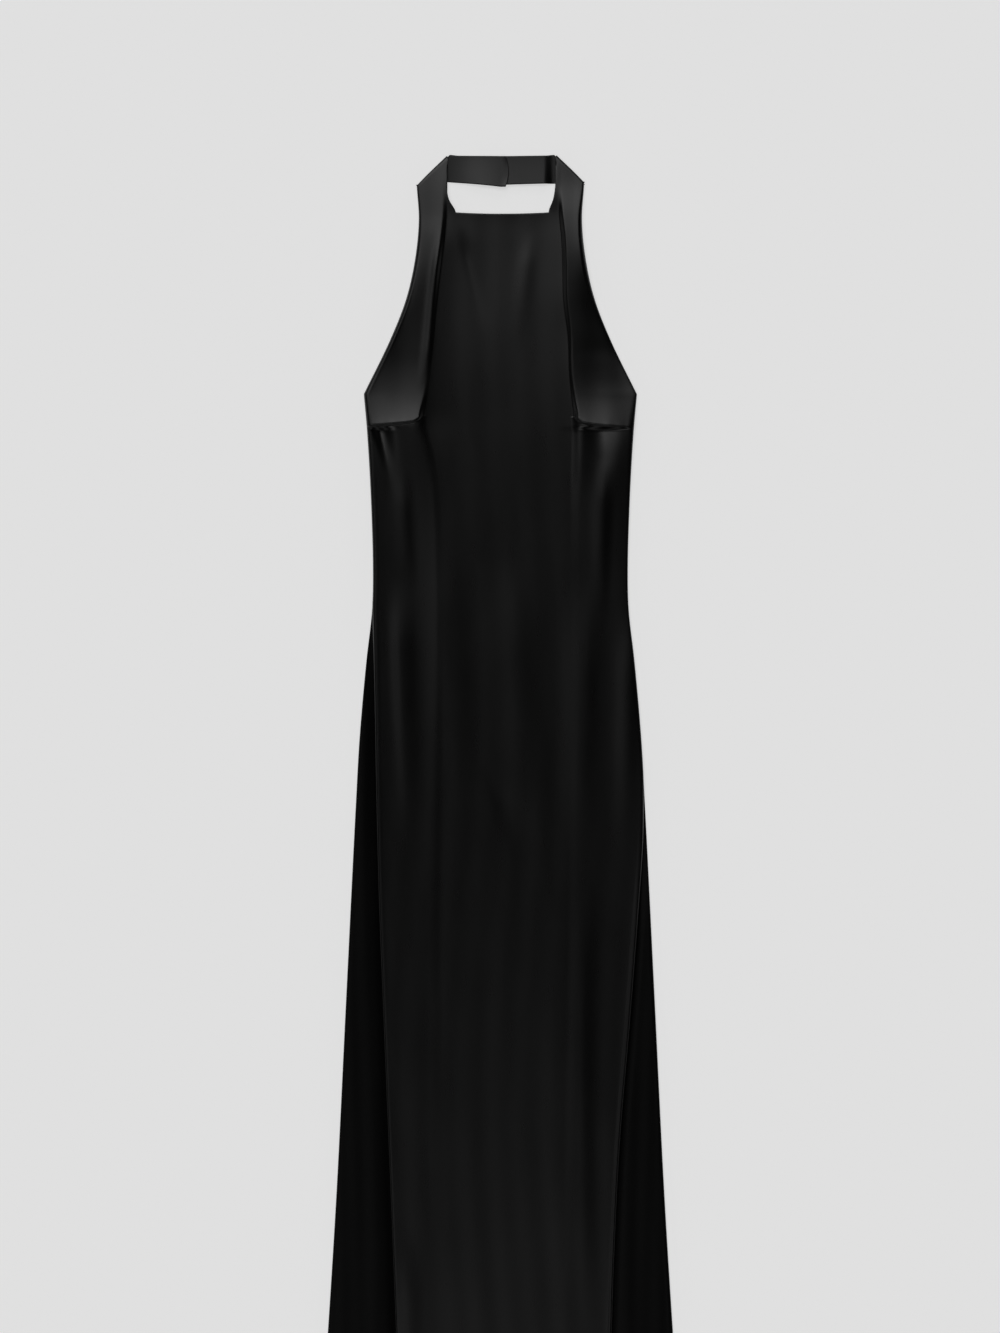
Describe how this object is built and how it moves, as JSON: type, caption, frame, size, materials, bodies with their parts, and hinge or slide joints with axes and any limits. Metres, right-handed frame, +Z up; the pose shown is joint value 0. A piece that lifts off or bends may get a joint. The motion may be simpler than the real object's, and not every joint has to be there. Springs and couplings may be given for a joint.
{
  "type": "halter dress, laid flat",
  "caption": "Long slim halter dress in black satin, laid flat: front with cut-on straps and bust darts, wider back folded in at the skirt, neckband overlapping behind",
  "frame": {"origin": "on the surface that the dress lies on, at the middle of its width and length", "axes": "+X to the right of the dress as seen from above, +Y towards the neckband, +Z up from the surface"},
  "size_m": [0.4426, 1.56, 0.0166],
  "materials": {
    "satin_front": "black satin, glossy face",
    "satin_back": "black satin, duller",
    "satin_neckband": "black satin, wrong side"
  },
  "bodies": {
    "root": {"front_panel": "satin_front", "back_panel": "satin_back", "neckband_left": "satin_neckband", "neckband_right": "satin_neckband"}
  },
  "joints": []
}
